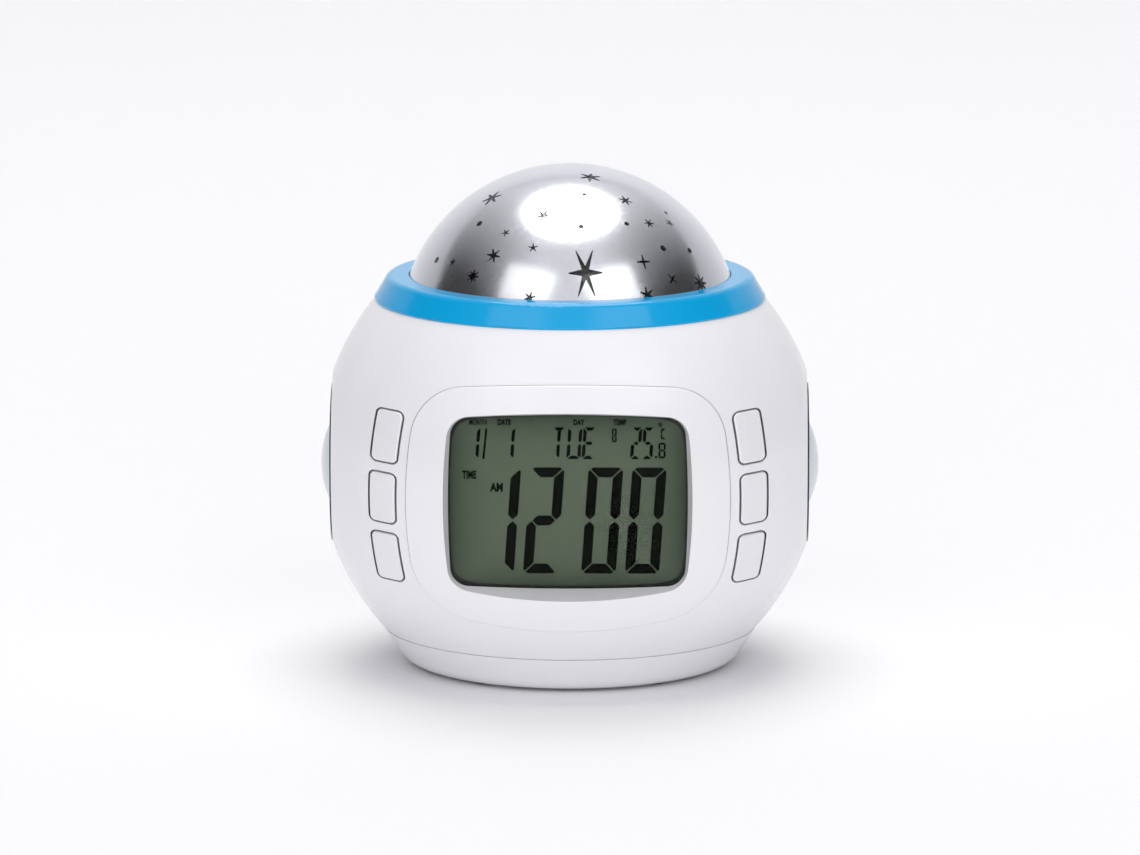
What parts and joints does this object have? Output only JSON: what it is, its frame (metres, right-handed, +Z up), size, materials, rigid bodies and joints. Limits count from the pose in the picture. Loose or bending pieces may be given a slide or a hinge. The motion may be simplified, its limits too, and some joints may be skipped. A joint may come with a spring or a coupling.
{
  "type": "electronic alarm clock",
  "caption": "Ball-shaped electronic alarm clock with a liquid crystal display, side keys and a silver star-cut dome that a lamp shines through onto the ceiling.",
  "frame": {"origin": "on the table under the middle of the whole clock, 1.54 mm behind the ball's centre", "axes": "+Z up, -Y towards the display's viewer, +X to the viewer's right"},
  "size_m": [0.1184, 0.1169, 0.1194],
  "materials": {
    "white_abs": "gloss white moulded ABS",
    "blue_abs": "gloss blue moulded ABS",
    "pale_cap": "pale grey gloss moulded ABS",
    "silver_skin": "bright silver metallised skin",
    "clear_plastic": "clear moulded polystyrene",
    "lcd_panel": "grey-green liquid crystal panel",
    "light_guide": "milky acrylic",
    "black_plastic": "black moulded plastic",
    "socket_plastic": "natural nylon",
    "circuit_board": "green solder mask",
    "flex_film": "amber polyimide film",
    "led": "water-clear epoxy",
    "steel": "zinc plated steel",
    "cone_paper": "black paper",
    "cell": "printed metal jacket, density near that of a real cell",
    "foot_rubber": "soft black rubber",
    "lead_sleeve": "PVC sleeve"
  },
  "bodies": {
    "case": {"base_cover": "white_abs", "base_screws": "steel", "batteries": "cell", "battery_contacts": "steel", "battery_lead": "lead_sleeve", "board_chips": "black_plastic", "board_screws": "steel", "deck_screws": "steel", "display_bezel": "white_abs", "display_lens": "clear_plastic", "dome_lens": "clear_plastic", "feet": "foot_rubber", "front_shell": "white_abs", "key_switches": "black_plastic", "lamp_board": "circuit_board", "lamp_deck": "black_plastic", "lamp_lead": "lead_sleeve", "lamps": "led", "lcd_backlight": "light_guide", "lcd_flex": "flex_film", "lcd_frame": "black_plastic", "lcd_glass": "lcd_panel", "lead_sockets": "socket_plastic", "left_side_board": "circuit_board", "left_side_lead": "lead_sleeve", "left_side_ring": "blue_abs", "left_side_switch": "black_plastic", "main_board": "circuit_board", "rear_shell": "white_abs", "right_side_board": "circuit_board", "right_side_lead": "lead_sleeve", "right_side_ring": "blue_abs", "right_side_switch": "black_plastic", "shell_screws": "steel", "speaker_cone": "cone_paper", "speaker_frame": "steel", "speaker_lead": "lead_sleeve", "speaker_magnet": "steel", "speaker_screws": "steel", "star_mask": "silver_skin", "top_ring": "blue_abs"},
    "left_upper_key": {"left_upper_key": "white_abs", "left_upper_plunger": "black_plastic"},
    "left_middle_key": {"left_middle_key": "white_abs", "left_middle_plunger": "black_plastic"},
    "left_lower_key": {"left_lower_key": "white_abs", "left_lower_plunger": "black_plastic"},
    "left_side_button": {"left_side_button": "pale_cap", "left_side_plunger": "black_plastic"},
    "right_upper_key": {"right_upper_key": "white_abs", "right_upper_plunger": "black_plastic"},
    "right_middle_key": {"right_middle_key": "white_abs", "right_middle_plunger": "black_plastic"},
    "right_lower_key": {"right_lower_key": "white_abs", "right_lower_plunger": "black_plastic"},
    "right_side_button": {"right_side_button": "pale_cap", "right_side_plunger": "black_plastic"},
    "battery_door": {"battery_door": "white_abs"}
  },
  "joints": [
    {"name": "left_upper_key_press", "type": "slide", "parent": "case", "child": "left_upper_key", "axis": [0, 1, 0], "range_m": [0, 0.0008], "stiffness_N_per_m": 800},
    {"name": "left_middle_key_press", "type": "slide", "parent": "case", "child": "left_middle_key", "axis": [0, 1, 0], "range_m": [0, 0.0008], "stiffness_N_per_m": 800},
    {"name": "left_lower_key_press", "type": "slide", "parent": "case", "child": "left_lower_key", "axis": [0, 1, 0], "range_m": [0, 0.0008], "stiffness_N_per_m": 800},
    {"name": "left_side_button_press", "type": "slide", "parent": "case", "child": "left_side_button", "axis": [1, 0, 0], "range_m": [0, 0.001], "stiffness_N_per_m": 900},
    {"name": "right_upper_key_press", "type": "slide", "parent": "case", "child": "right_upper_key", "axis": [0, 1, 0], "range_m": [0, 0.0008], "stiffness_N_per_m": 800},
    {"name": "right_middle_key_press", "type": "slide", "parent": "case", "child": "right_middle_key", "axis": [0, 1, 0], "range_m": [0, 0.0008], "stiffness_N_per_m": 800},
    {"name": "right_lower_key_press", "type": "slide", "parent": "case", "child": "right_lower_key", "axis": [0, 1, 0], "range_m": [0, 0.0008], "stiffness_N_per_m": 800},
    {"name": "right_side_button_press", "type": "slide", "parent": "case", "child": "right_side_button", "axis": [-1, 0, 0], "range_m": [0, 0.001], "stiffness_N_per_m": 900},
    {"name": "battery_door_hinge", "type": "hinge", "parent": "case", "child": "battery_door", "pos_m": [0, 0.01611, 0.0017], "axis": [1, 0, 0], "range_deg": [0, 90]}
  ]
}
